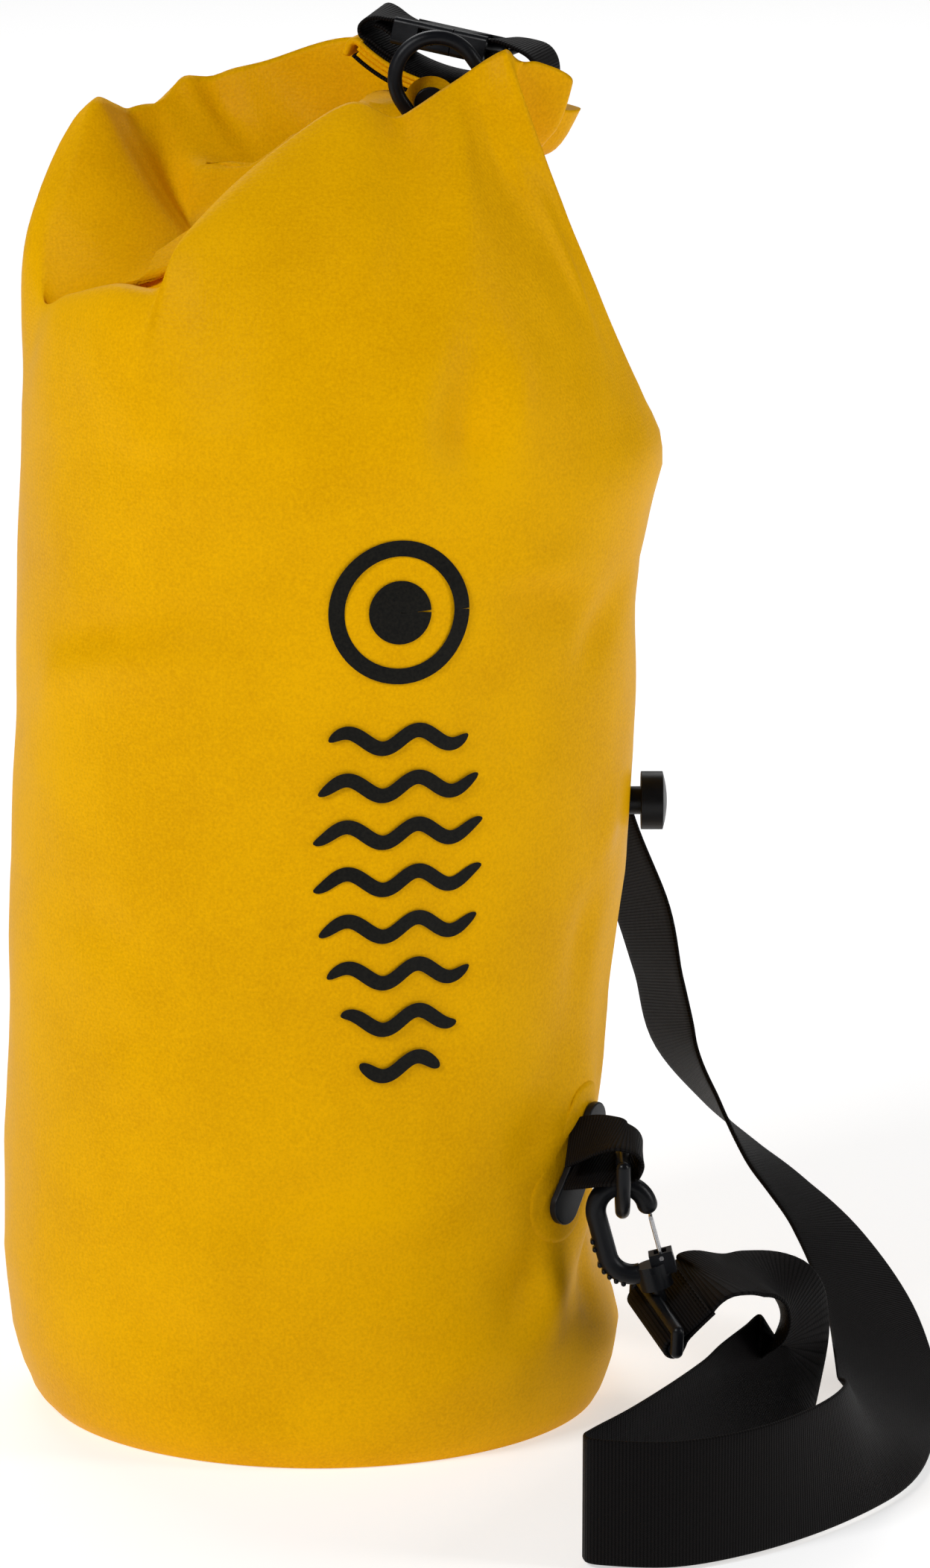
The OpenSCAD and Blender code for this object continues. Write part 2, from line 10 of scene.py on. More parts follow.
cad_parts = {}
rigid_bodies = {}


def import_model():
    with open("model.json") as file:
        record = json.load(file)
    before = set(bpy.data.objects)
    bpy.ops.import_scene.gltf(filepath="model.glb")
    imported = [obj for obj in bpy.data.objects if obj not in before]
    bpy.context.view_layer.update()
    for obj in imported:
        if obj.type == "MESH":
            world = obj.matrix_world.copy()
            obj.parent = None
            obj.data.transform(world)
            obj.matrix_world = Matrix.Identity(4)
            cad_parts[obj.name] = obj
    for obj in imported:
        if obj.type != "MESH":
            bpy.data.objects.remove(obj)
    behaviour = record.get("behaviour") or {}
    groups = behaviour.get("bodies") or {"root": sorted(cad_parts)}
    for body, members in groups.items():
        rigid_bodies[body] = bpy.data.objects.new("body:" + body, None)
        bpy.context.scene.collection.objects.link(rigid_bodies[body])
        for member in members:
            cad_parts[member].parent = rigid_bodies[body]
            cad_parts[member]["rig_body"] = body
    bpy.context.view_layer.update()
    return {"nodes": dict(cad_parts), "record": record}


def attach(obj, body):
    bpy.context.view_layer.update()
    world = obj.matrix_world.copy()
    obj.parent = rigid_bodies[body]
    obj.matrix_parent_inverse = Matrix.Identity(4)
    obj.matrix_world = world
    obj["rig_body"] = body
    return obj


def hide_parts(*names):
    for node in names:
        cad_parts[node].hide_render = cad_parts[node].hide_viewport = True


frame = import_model()

MM = 0.001
BAG_R = 119.0  # the tube's true radius
WALL_TOP = 390.0  # where the standing wall gives way to the folded top
TUBE_TOP = 396.0  # where the folded top's straight columns are measured from

# ---- camera, floor and light ---------------------------------------------------------

CAMERA_AT = (0.057, -2.543, 0.785)
CAMERA_PITCH = 78
CAMERA_LENS = 152.6
AMBIENT = 0.09
FLOOR_GLOW = 0.55


def area_light(name, at, aim, size, power):
    data = bpy.data.lights.new(name, "AREA")
    data.shape = "RECTANGLE"
    data.size, data.size_y = size
    data.energy = power
    light = bpy.data.objects.new(name, data)
    light.location = at
    light.rotation_euler = (Vector(aim) - Vector(at)).to_track_quat("-Z", "Y").to_euler()
    bpy.context.scene.collection.objects.link(light)


def set_up_studio():
    camera = bpy.data.objects.new("camera", bpy.data.cameras.new("camera"))
    camera.location = CAMERA_AT
    camera.rotation_euler = (math.radians(CAMERA_PITCH), 0, 0)
    camera.data.sensor_fit = "VERTICAL"
    camera.data.sensor_height = 36
    camera.data.lens = CAMERA_LENS
    bpy.context.scene.collection.objects.link(camera)
    bpy.context.scene.camera = camera

    # Dim white light all round, and plain white where the camera sees past the floor
    world = bpy.data.worlds.new("studio")
    world.use_nodes = True
    tree = world.node_tree
    dim = tree.nodes["Background"]
    dim.inputs["Color"].default_value = (1, 1, 1, 1)
    dim.inputs["Strength"].default_value = AMBIENT
    backdrop = tree.nodes.new("ShaderNodeBackground")
    backdrop.inputs["Strength"].default_value = 1.0
    mix = tree.nodes.new("ShaderNodeMixShader")
    tree.links.new(tree.nodes.new("ShaderNodeLightPath").outputs["Is Camera Ray"], mix.inputs[0])
    tree.links.new(dim.outputs[0], mix.inputs[1])
    tree.links.new(backdrop.outputs[0], mix.inputs[2])
    tree.links.new(mix.outputs[0], tree.nodes["World Output"].inputs["Surface"])
    bpy.context.scene.world = world
    bpy.context.scene.view_settings.view_transform = "Standard"

    bpy.ops.mesh.primitive_plane_add(size=12, location=(0, 0, -0.0004))
    floor = bpy.context.object
    floor.name = "floor"
    white = bpy.data.materials.new("floor_white")
    white.use_nodes = True
    bsdf = white.node_tree.nodes["Principled BSDF"]
    bsdf.inputs["Base Color"].default_value = (0.7, 0.7, 0.7, 1)
    bsdf.inputs["Emission Color"].default_value = (1, 1, 1, 1)
    bsdf.inputs["Emission Strength"].default_value = FLOOR_GLOW
    bsdf.inputs["Roughness"].default_value = 0.9
    floor.data.materials.append(white)

    area_light("key", (-1.5, -1.7, 2.0), (0, 0, 0.3), (0.8, 0.9), 42)
    area_light("right", (2.0, -0.6, 1.0), (0.05, 0, 0.25), (0.5, 1.3), 15)
    area_light("back", (-0.5, 1.5, 2.0), (0, 0, 0.3), (1.2, 0.8), 12)
    area_light("far_floor", (0.2, 4.6, 3.0), (0.2, 4.6, 0), (6, 5), 110)


# ---- materials -----------------------------------------------------------------------

class Nodes:
    """A material, and what adds and joins its nodes. An input named i0 or i1 is a socket's number."""

    def __init__(self, name, colour, roughness, **sockets):
        self.material = bpy.data.materials.new(name)
        self.material.use_nodes = True
        self.tree = self.material.node_tree
        self.bsdf = self.tree.nodes["Principled BSDF"]
        self.bsdf.inputs["Base Color"].default_value = (*colour, 1)
        self.bsdf.inputs["Roughness"].default_value = roughness
        for key, value in sockets.items():
            self.bsdf.inputs[key.replace("_", " ")].default_value = value

    def add(self, kind, settings=None, **inputs):
        node = self.tree.nodes.new("ShaderNode" + kind)
        for key, value in (settings or {}).items():
            setattr(node, key, value)
        for key, value in inputs.items():
            numbered = key[0] == "i" and key[1:].isdigit()
            self.put(value, node.inputs[int(key[1:]) if numbered else key.replace("_", " ")])
        return node

    def put(self, value, socket):
        if isinstance(value, bpy.types.NodeSocket):
            self.tree.links.new(value, socket)
        else:
            socket.default_value = value

    def math(self, op, a, b=0.0):
        return self.add("Math", {"operation": op}, i0=a, i1=b).outputs[0]

    def ramp(self, fac, stops):
        node = self.add("ValToRGB", Fac=fac)
        elements = node.color_ramp.elements
        while len(elements) < len(stops):
            elements.new(0.5)
        for element, (position, colour) in zip(elements, stops):
            element.position = position
            element.color = (*colour, 1)
        return node.outputs["Color"]

    def bump(self, height, distance, strength=1.0, normal=None):
        node = self.add("Bump", Height=height, Distance=distance, Strength=strength)
        if normal:
            self.put(normal, node.inputs["Normal"])
        return node.outputs["Normal"]


def coated_fabric(name, tone=1.0):
    """Yellow tarpaulin: a satin coat with the grain of its woven core showing through."""
    bright, deep = (0.88 * tone, 0.45 * tone, 0.0), (0.73 * tone, 0.35 * tone, 0.0)
    m = Nodes(name, bright, 0.45, Specular_IOR_Level=0.03)
    place = m.add("TexCoord").outputs["Object"]
    grain = m.add("TexNoise", Vector=place, Scale=900, Detail=3, Roughness=0.6).outputs["Fac"]
    weave = m.add("TexVoronoi", {"feature": "F1"}, Vector=place, Scale=780, Randomness=0.55)
    cloud = m.add("TexNoise", Vector=place, Scale=14, Detail=5, Roughness=0.6).outputs["Fac"]
    shade = m.math("ADD", m.math("MULTIPLY", grain, 0.55), m.math("MULTIPLY", cloud, 0.45))
    m.put(m.ramp(shade, [(0.36, deep), (0.60, bright)]), m.bsdf.inputs["Base Color"])
    rough = m.add("MapRange", Value=cloud, From_Min=0.3, From_Max=0.7, To_Min=0.38, To_Max=0.52)
    m.put(rough.outputs[0], m.bsdf.inputs["Roughness"])
    coarse = m.bump(cloud, 0.0012, 0.3)
    fine = m.bump(weave.outputs["Distance"], 0.00022, 0.5, coarse)
    m.put(m.bump(grain, 0.00018, 0.45, fine), m.bsdf.inputs["Normal"])
    return m.material


def webbing(name, pitch=0.0013, colour=(0.0030, 0.0026, 0.0026), shine=0.55):
    """Ribbed polyester webbing. The ribs run across the UV map's first axis, in metres."""
    m = Nodes(name, colour, shine, Specular_IOR_Level=0.05)
    uv = m.add("SeparateXYZ", i0=m.add("TexCoord").outputs["UV"])
    along = m.math("MULTIPLY", uv.outputs["X"], 2 * math.pi / pitch)
    across = m.math("MULTIPLY", uv.outputs["Y"], 2 * math.pi / (pitch * 0.62))
    rib = m.math("ABSOLUTE", m.math("SINE", m.math("MULTIPLY", along, 0.5)))
    yarn = m.math("MULTIPLY", m.math("SINE", across), m.math("SINE", along))
    place = m.add("TexCoord").outputs["Object"]
    fuzz = m.add("TexNoise", Vector=place, Scale=1400, Detail=2).outputs["Fac"]
    high = m.math("ADD", m.math("ADD", rib, m.math("MULTIPLY", yarn, 0.22)),
                  m.math("MULTIPLY", fuzz, 0.35))
    # The colour follows the rib height: a painted highlight on the rib crests and painted shade in the
    # grooves between them, with some random fuzz in the tone
    dark, light = tuple(c * 0.35 for c in colour), tuple(c * 2.6 for c in colour)
    painted_rib_shading = m.ramp(m.math("MULTIPLY", high, 0.7), [(0.12, dark), (0.85, light)])
    m.put(painted_rib_shading, m.bsdf.inputs["Base Color"])
    m.put(m.bump(high, 0.00028, 0.8), m.bsdf.inputs["Normal"])
    return m.material


def moulded(name):
    """Black moulded nylon with a faint spark-eroded grain and soft wear."""
    colour, roughness = (0.0040, 0.0044, 0.0056), 0.32
    m = Nodes(name, colour, roughness, Specular_IOR_Level=0.17)
    place = m.add("TexCoord").outputs["Object"]
    grain = m.add("TexNoise", Vector=place, Scale=1600, Detail=2).outputs["Fac"]
    smear = m.add("TexNoise", Vector=place, Scale=90, Detail=4).outputs["Fac"]
    rough = m.add("MapRange", Value=smear, From_Min=0.3, From_Max=0.7,
                  To_Min=roughness - 0.07, To_Max=roughness + 0.1)
    m.put(rough.outputs[0], m.bsdf.inputs["Roughness"])
    light = tuple(c * 1.8 for c in colour)
    m.put(m.ramp(smear, [(0.35, colour), (0.75, light)]), m.bsdf.inputs["Base Color"])
    m.put(m.bump(grain, 0.00006, 0.5), m.bsdf.inputs["Normal"])
    return m.material


def rubber(name):
    """Black seal rubber with a dull, fine grain."""
    m = Nodes(name, (0.02, 0.02, 0.02), 0.6)
    place = m.add("TexCoord").outputs["Object"]
    grain = m.add("TexNoise", Vector=place, Scale=700, Detail=3).outputs["Fac"]
    m.put(m.bump(grain, 0.0001, 0.4), m.bsdf.inputs["Normal"])
    m.put(m.ramp(grain, [(0.3, (0.015, 0.015, 0.016)), (0.7, (0.03, 0.03, 0.03))]),
          m.bsdf.inputs["Base Color"])
    return m.material


def steel(name):
    """Bright steel wire with drawn lines along it."""
    m = Nodes(name, (0.5, 0.5, 0.51), 0.26, Metallic=1.0)
    place = m.add("TexCoord").outputs["Object"]
    drawn = m.add("Mapping", i0=place, Scale=(900, 900, 60)).outputs[0]
    lines = m.add("TexNoise", Vector=drawn, Scale=1, Detail=2).outputs["Fac"]
    rough = m.add("MapRange", Value=lines, To_Min=0.18, To_Max=0.36)
    m.put(rough.outputs[0], m.bsdf.inputs["Roughness"])
    m.put(m.bump(lines, 0.00003, 0.3), m.bsdf.inputs["Normal"])
    return m.material


def ink(name):
    """Black screen print over the coat's grain."""
    m = Nodes(name, (0.006, 0.0055, 0.005), 0.45, Specular_IOR_Level=0.1)
    place = m.add("TexCoord").outputs["Object"]
    grain = m.add("TexNoise", Vector=place, Scale=900, Detail=3).outputs["Fac"]
    m.put(m.ramp(grain, [(0.3, (0.004, 0.004, 0.0035)), (0.75, (0.012, 0.011, 0.008))]),
          m.bsdf.inputs["Base Color"])
    m.put(m.bump(grain, 0.00015, 0.45), m.bsdf.inputs["Normal"])
    return m.material


# ---- mesh helpers --------------------------------------------------------------------

def lerp(a, b, t):
    return a + (b - a) * t


def catmull(a, b, c, d, t):
    """A point between b and c on the Catmull-Rom curve through all four."""
    return 0.5 * (2 * b + (c - a) * t + (2 * a - 5 * b + 4 * c - d) * t * t
                  + (3 * b - a - 3 * c + d) * t ** 3)


def smooth_line(points, steps, closed=False):
    """A Catmull-Rom line through the points, as an array."""
    p = np.array(points, float)
    n = len(p)
    out = []

    def pick(k):
        return p[k % n] if closed else p[max(0, min(n - 1, k))]

    for i in range(n if closed else n - 1):
        for s in range(steps):
            out.append(catmull(pick(i - 1), pick(i), pick(i + 1), pick(i + 2), s / steps))
    if not closed:
        out.append(p[-1])
    return np.array(out)


def grid_faces(rows, cols, closed):
    """Quads over a grid of points, row by row, whose rows are rings where it is closed."""
    faces = []
    for i in range(rows - 1):
        for j in range(cols if closed else cols - 1):
            k = (j + 1) % cols
            faces.append((i * cols + j, i * cols + k, (i + 1) * cols + k, (i + 1) * cols + j))
    return faces


def end_faces(rows, cols, base=0):
    """The two faces that close a tube of rings, first ring and last."""
    last = base + (rows - 1) * cols
    return [tuple(base + cols - 1 - k for k in range(cols)), tuple(last + k for k in range(cols))]


def grid_object(name, points, material, closed=False):
    """A mesh of quads over points[row][col], in millimetres."""
    pts = np.array(points, float)
    rows, cols = pts.shape[:2]
    return mesh_object(name, pts.reshape(-1, 3), grid_faces(rows, cols, closed), material)


def mesh_object(name, points, faces, material, uv=None, body="bag"):
    """A smooth-shaded piece on a body, from points in millimetres."""
    mesh = bpy.data.meshes.new(name)
    mesh.from_pydata([tuple(p * MM) for p in points], [], faces)
    if uv is not None:
        layer = mesh.uv_layers.new(name="along")
        for loop in mesh.loops:
            layer.data[loop.index].uv = uv[loop.vertex_index]
    mesh.polygons.foreach_set("use_smooth", [True] * len(mesh.polygons))
    mesh.materials.append(material)
    mesh.update()
    thing = bpy.data.objects.new(name, mesh)
    bpy.context.scene.collection.objects.link(thing)
    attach(thing, body)
    return thing


def frames(line, across):
    """Unit tangent, across and normal vectors along a line."""
    fwd = np.gradient(line, axis=0)
    fwd /= np.linalg.norm(fwd, axis=1)[:, None]
    side = across - fwd * (across * fwd).sum(1)[:, None]
    side /= np.linalg.norm(side, axis=1)[:, None]
    return fwd, side, np.cross(fwd, side)


def ribbon(name, stations, width, thick, material, slot="webbing", steps=6, across=8):
    """Webbing swept along stations of (point, way across), with round edges and a UV map.

    Returns the piece and its centre line.
    """
    s = smooth_line(stations, steps)
    line, (fwd, side, normal) = s[:, :3], frames(s[:, :3], s[:, 3:])
    run = np.concatenate([[0], np.cumsum(np.linalg.norm(np.diff(line, axis=0), axis=1))])
    half, edge = width / 2, thick / 2
    profile = [(lerp(-half + edge, half - edge, k / across), edge) for k in range(across + 1)]
    profile += [(half - 0.25 * edge, 0.7 * edge), (half, 0), (half - 0.25 * edge, -0.7 * edge)]
    profile += [(-a, -b) for a, b in profile[:across + 1]]
    profile += [(-a, -b) for a, b in profile[across + 1:across + 4]]
    rings = [[line[i] + side[i] * a + normal[i] * b for a, b in profile] for i in range(len(line))]
    uv = [(along * MM, a * MM) for along in run for a, b in profile]
    faces = grid_faces(len(line), len(profile), True) + end_faces(len(line), len(profile))
    thing = mesh_object(name, np.array(rings).reshape(-1, 3), faces, material, uv)
    return thing, line


def add_rod(points, faces, frame_at, frame_turn, centre, out, profile, sides):
    """Adds a small rod along Y of a turned frame: a ring of points for each (y, radius)."""
    base = len(points)
    along = np.array([-out[2], 0, out[0]])
    for y, r in profile:
        for t in np.linspace(0, 2 * math.pi, sides, endpoint=False):
            p = centre + out * (r * math.cos(t)) + along * (r * math.sin(t)) + np.array([0, y, 0])
            points.append(np.array(frame_at) + frame_turn @ p)
    for face in grid_faces(len(profile), sides, True):
        faces.append(tuple(base + k for k in face))
    faces.extend(end_faces(len(profile), sides, base))


# ---- the filled bag ------------------------------------------------------------------

# How far the tube's left and right sides stand from its axis, from the base up: height, distance
LEFT = [(0, 109.6), (5, 114.5), (17, 120), (29, 123), (60, 126), (91, 125), (139, 123), (190, 121.5),
        (260, 119), (320, 117), (366, 115), (400, 113.5)]
RIGHT = [(0, 109.6), (5, 112.5), (17, 116), (29, 118), (42, 115), (54, 109.5), (76, 105.5),
         (91, 106.5), (115, 109), (139, 112), (164, 114), (188, 117), (212, 120), (260, 123),
         (319, 123.5), (336, 124.5), (356, 129), (374, 134), (384, 132.5), (396, 127)]
# The same at the front and back
FRONT = [(0, 109.6), (3, 111.5), (8, 114), (18, 117), (35, 119), (60, 119.5), (400, 119.5)]
# Where flat hardware holds the wall to the tube's true radius: azimuth, height, reach round, up
PADS = [(-33, 108, 24, 40), (47, 366, 30, 22)]
CREASE_DEPTH = 1.5
# Creases: azimuth, height, length, width, slope in degrees, depth before CREASE_DEPTH
CREASES = [
    (-133, 322, 46, 8, 12, -1.8), (-128, 312, 60, 9, 8, 2.0), (-112, 330, 44, 7, -6, -1.2),
    (-146, 300, 40, 9, 30, 1.6), (-46, 334, 40, 8, -14, -2.4), (-44, 347, 38, 8, -10, 2.2),
    (-52, 280, 26, 8, -30, -1.8), (-48, 270, 24, 7, -30, 1.6), (-92, 108, 90, 10, 12, -1.8),
    (-84, 96, 100, 11, 14, 2.0), (-38, 62, 40, 11, 60, 3.2), (-48, 70, 44, 9, 62, -3.0),
    (-22, 64, 40, 10, 70, -2.5), (-60, 40, 60, 12, 20, 1.8), (-118, 52, 70, 12, -14, -1.6),
    (-58, 404, 50, 14, 62, -3.4), (-50, 410, 46, 11, 60, 2.2), (-84, 424, 60, 22, 34, -2.4),
    (-66, 200, 160, 16, 86, -1.6), (-76, 470, 50, 14, 40, 1.6), (-100, 380, 80, 20, -20, 1.2),
    (-66, 352, 70, 16, -34, -2.2), (-58, 336, 60, 12, -36, 2.0), (-96, 250, 70, 14, -8, -1.0),
    (-122, 150, 60, 13, 10, 1.2), (-132, 208, 50, 12, -18, -1.3), (-30, 200, 60, 9, 74, -1.8),
    (-24, 232, 46, 9, 60, 1.6), (-28, 318, 40, 9, 40, -2.0), (-70, 62, 90, 12, -8, 1.4),
    (-104, 30, 80, 10, 8, -1.4), (-44, 128, 50, 10, 66, -2.2), (-118, 376, 60, 14, 18, 1.5),
    (60, 300, 80, 12, 20, -2.2), (72, 286, 90, 13, 24, 2.2), (110, 150, 90, 14, -20, -2.2),
    (130, 330, 80, 12, 34, -2.2), (150, 80, 90, 13, 12, 2.0), (95, 60, 70, 12, 8, -2.0),
    (20, 150, 60, 12, 40, -2.0), (14, 300, 60, 11, -30, -1.8), (170, 240, 100, 14, 60, -1.8),
]
# Folded top, counter-clockwise from the front peak: azimuth and distance of the column's foot,
# a point half-way up (or none), rim, lowest point inside the rim, place under the roll
TOP = [
    (-8, 128, (100, -36, 456), (71, -30, 534), (65, -10, 490), (77, -5, 504)),
    (-4, 129, (101, -31, 459), (73.5, -28, 534), (68, -10, 490), (78, -5, 504)),
    (0, 126.5, (96, -22, 460), (76, -25, 531), (70, -8, 491), (80, -3, 504)),
    (8, 123, (88, -10, 466), (79, -21, 529), (74, -7, 492), (82, -1, 504)),
    (16, 121, (87, 4, 470), (86, -16, 528), (80, -3, 492), (85, 2, 504)),
    (26, 120, (87, 20, 468), (98, -8, 521), (87, 4, 490), (87, 7, 504)),
    (32, 119, (86, 30, 466), (94, 3, 509), (86, 12, 489), (85, 12, 504)),
    (38, 119, (86, 40, 466), (101, 22, 507), (84, 22, 488), (82, 15, 505)),
    (52, 119, (82, 62, 466), (74, 56, 511), (70, 34, 486), (72, 22, 506)),
    (68, 119, None, (46, 64, 520), (56, 42, 488), (60, 27, 507)),
    (85, 119, None, (13, 54, 531), (36, 42, 490), (48, 31, 508)),
    (102, 119, None, (-24, 64, 520), (12, 42, 484), (38, 34, 510)),
    (115, 119, None, (-53, 64, 514), (-16, 30, 476), (28, 36, 512)),
    (122, 118, (-70, 76, 462), (-60, 58, 506), (-44, 34, 484), (24, 36, 512)),
    (130, 118, None, (-69, 54, 505), (-50, 22, 466), (22, 34, 512)),
    (142, 118, None, (-79, 42, 507), (-46, 4, 458), (20, 31, 511)),
    (155, 117, None, (-88, 28, 507), (-46, -10, 452), (19, 28, 511)),
    (170, 116, None, (-97, 5, 474), (-62, -26, 446), (18, 24, 510)),
    (186, 115, (-110, -12, 422), (-104, -16, 437), (-92, -24, 437), (17, 21, 510)),
    (204, 117, (-101, -48, 424), (-91, -46, 444), (-79, -37, 429), (17, 19, 510)),
    (220, 119, (-82, -79, 430), (-72, -72, 451), (-63, -52, 428), (18, 17, 510)),
    (232, 120, (-65, -96, 432), (-54, -85, 451), (-50, -60, 430), (20, 15, 510)),
    (241, 120, (-55, -98, 440), (-48, -82, 468), (-42, -58, 437), (24, 13, 509)),
    (252, 120, None, (-35, -72, 483), (-28, -46, 448), (30, 11, 509)),
    (264, 120, None, (-14, -59, 500), (-8, -38, 466), (38, 8, 508)),
    (276, 120, None, (13, -45, 516), (16, -26, 478), (50, 4, 507)),
    (288, 120, None, (31, -40, 511), (34, -18, 482), (60, 1, 506)),
    (302, 121, None, (50, -34, 521), (50, -12, 486), (68, -2, 505)),
    (330, 126, (86, -52, 462), (64, -29, 530), (59, -10, 489), (74, -4, 504)),
]
COLUMNS_PER_STATION = 11
# Pleats pressed into the folded top: from, to, half width, how far the cloth is pushed
FOLDS = [
    ((-74, 46, 506), (-28, 26, 488), 6, (0, 7, -8)),
    ((-53, 62, 515), (-26, 24, 487), 3.5, (0, -3, 4)),
    ((-42, 62, 514), (-18, 28, 484), 6, (0, 4, -8)),
    ((-84, 30, 508), (-30, 16, 488), 4, (0, -2, 3)),
    ((-24, -58, 480), (-56, -92, 436), 5, (-3, 3, -3)),
    ((28, -38, 512), (46, -52, 478), 7, (1, 4, -2)),
    ((66, -38, 505), (112, -46, 425), 4, (2, -2, 0)),
    ((50, -60, 470), (88, -72, 420), 10, (-1, 4, 0)),
    ((-10, -78, 458), (-36, -100, 410), 12, (0, 3, 0)),
    ((88, 0, 505), (84, 14, 470), 6, (-5, 0, 0)),
    ((10, 60, 522), (30, 96, 440), 8, (0, -6, 0)),
    ((-30, 70, 505), (-24, 108, 420), 9, (0, -6, 0)),
    ((60, 66, 500), (80, 92, 430), 8, (-4, -5, 0)),
    ((-80, 40, 490), (-96, 60, 420), 7, (5, -4, 0)),
]
FOLDS_ABOVE = 402  # the pleats move nothing below this height


def fold_push(points):
    """Moves the points near each fold, fading away from its line."""
    for start, end, width, push in FOLDS:
        a, b = np.array(start, float), np.array(end, float)
        t = np.clip((points - a) @ (b - a) / ((b - a) @ (b - a)), 0, 1)
        away = np.linalg.norm(points - (a + t[:, None] * (b - a)), axis=1)
        taper = np.clip(4 * t * (1 - t) + 0.35, 0, 1)
        points = points + np.outer(taper * np.exp(-(away / width) ** 2), push)
    return points


def spread(azimuth_a, azimuth_b):
    """Signed angle between two azimuths, in degrees."""
    return (azimuth_a - azimuth_b + 180) % 360 - 180


def profile_at(table, z):
    """The distance that a table of (height, distance) gives at a height."""
    return np.interp(z, [h for h, _ in table], [d for _, d in table])


def pad_weights(azimuth, z):
    """How much each pad holds the wall, from 0 to 1."""
    weights = []
    for at, height, around, up in PADS:
        s = np.radians(spread(azimuth, at)) * BAG_R
        weights.append(np.exp(-(s / around) ** 4 - ((z - height) / up) ** 4))
    return weights


def wall_radius(azimuth, z):
    """The tube's radius where the filled fabric bulges, sags or is held."""
    c = np.cos(np.radians(azimuth))
    front = profile_at(FRONT, z)
    left = lerp(front, profile_at(LEFT, z), np.abs(c) ** 1.6)
    right = lerp(front, profile_at(RIGHT, z), np.abs(c) ** np.where(z > 150, 2.6, 4.5))
    r = np.where(c < 0, left, right)
    for weight in pad_weights(azimuth, z):
        r = lerp(r, BAG_R + 0.1, weight)
    return r


def crease_depth(azimuth, z):
    """How far the creases lift or sink the wall, each a long soft bump that wanders a little."""
    total = 0
    for at, height, length, width, slope, depth in CREASES:
        s, dz = np.radians(spread(azimuth, at)) * BAG_R, z - height
        c, k = math.cos(math.radians(slope)), math.sin(math.radians(slope))
        along, over = s * c + dz * k, dz * c - s * k
        over = over + 0.1 * along * np.sin(along / 14)
        total = total + CREASE_DEPTH * depth * np.exp(-(along / (length * 0.5)) ** 2
                                                      - (over / width) ** 2)
    for weight in pad_weights(azimuth, z):
        total = total * (1 - weight)
    return total


def wall_point(azimuth, z, out=0.0):
    """A point on the wall, or a row of them where the azimuth or the height is an array."""
    azimuth, z = np.broadcast_arrays(np.asarray(azimuth, float), np.asarray(z, float))
    r = wall_radius(azimuth, z) + crease_depth(azimuth, z) + out
    a = np.radians(azimuth)
    return np.stack([r * np.cos(a), r * np.sin(a), z], axis=-1)


def column_azimuths():
    """The azimuth at which each column of the bag's grid leaves the tube."""
    turn = [station[0] for station in TOP]
    turn = [turn[-1] - 360] + turn + [turn[0] + 360, turn[1] + 360]
    return np.array([catmull(*turn[i:i + 4], s / COLUMNS_PER_STATION)
                     for i in range(len(TOP)) for s in range(COLUMNS_PER_STATION)])


def top_lines():
    """Closed lines round the folded top: half-way up, rim, inside the rim, under the roll."""
    halfway = []
    for azimuth, reach, mid, rim, _, _ in TOP:
        a = math.radians(azimuth)
        out = np.array([math.cos(a), math.sin(a), 0])
        foot = out * reach + np.array([0, 0, TUBE_TOP])
        bulged = lerp(foot, np.array(rim, float), 0.5) + out * 9 + np.array([0, 0, 6])
        halfway.append(np.array(mid, float) if mid else bulged)
    lines = [halfway] + [[station[k] for station in TOP] for k in (3, 4, 5)]
    return [smooth_line(line, COLUMNS_PER_STATION, closed=True) for line in lines]


def bag_rows():
    """Rings of points from the base up the wall, over the rim and down under the roll."""
    azimuths = column_azimuths()
    mid, rim, dip, core = top_lines()
    heights = [0, 0.6, 2, 4, 7, 11, 16, 22, 29, 37, 46] + list(range(54, int(WALL_TOP), 6))
    rows = [wall_point(azimuths, z) for z in heights]
    up = np.array([0, 0, 1.0])
    foot = wall_point(azimuths, WALL_TOP)
    # The right side leaves the tube's top at a corner, and the other sides leave it upwards
    corner = np.clip((np.cos(np.radians(azimuths - 4)) - 0.75) / 0.2, 0, 1)[:, None]
    reach = np.linalg.norm(rim - foot, axis=1)[:, None]
    c1 = foot + up * reach * 0.3 * (1 - corner) + (mid - foot) * 0.6 * corner
    c2 = (8 * mid - foot - 3 * c1 - rim) / 3
    for s in np.linspace(0, 1, 26):
        t = 1 - (1 - s) ** 1.35
        row = ((1 - t) ** 3 * foot + 3 * t * (1 - t) ** 2 * c1 + 3 * t * t * (1 - t) * c2
               + t ** 3 * rim)
        if s:
            a = np.arctan2(row[:, 1], row[:, 0])
            outward = np.stack([np.cos(a), np.sin(a), np.full(len(a), 0.3)], axis=-1)
            depth = crease_depth(np.degrees(a), row[:, 2]) * min(1, 2.5 * (1 - t))
            row = row + outward * depth[:, None]
        rows.append(row)
    for t in (0.04, 0.1, 0.2, 0.32, 0.45, 0.58, 0.7, 0.8, 0.9, 1.0):
        rows.append(lerp(rim, dip, t) - up * 5 * math.sin(math.pi * t))
    for t in (0.12, 0.3, 0.5, 0.7, 0.85, 1.0):
        rows.append(lerp(dip, core, t) - up * 3 * math.sin(math.pi * t))
    return np.array(rows)


def build_bag(material):
    rows = bag_rows()
    points = rows.reshape(-1, 3)
    # A slow unevenness all over the filled cloth
    for i, p in enumerate(points):
        if 8 < p[2] < 500:
            n = noise.noise(Vector(p) * 0.021) * 0.9 + noise.noise(Vector(p) * 0.055) * 0.35
            d = np.array([p[0], p[1], 0]) / max(1, math.hypot(p[0], p[1]))
            points[i] = p + d * n
    high = points[:, 2] > FOLDS_ABOVE
    points[high] = fold_push(points[high])
    faces = grid_faces(*rows.shape[:2], True) + end_faces(*rows.shape[:2])
    bag = mesh_object("bag_shell", points, faces, material)
    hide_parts("tube_wall", "neck_fabric", "base_seam_tape")


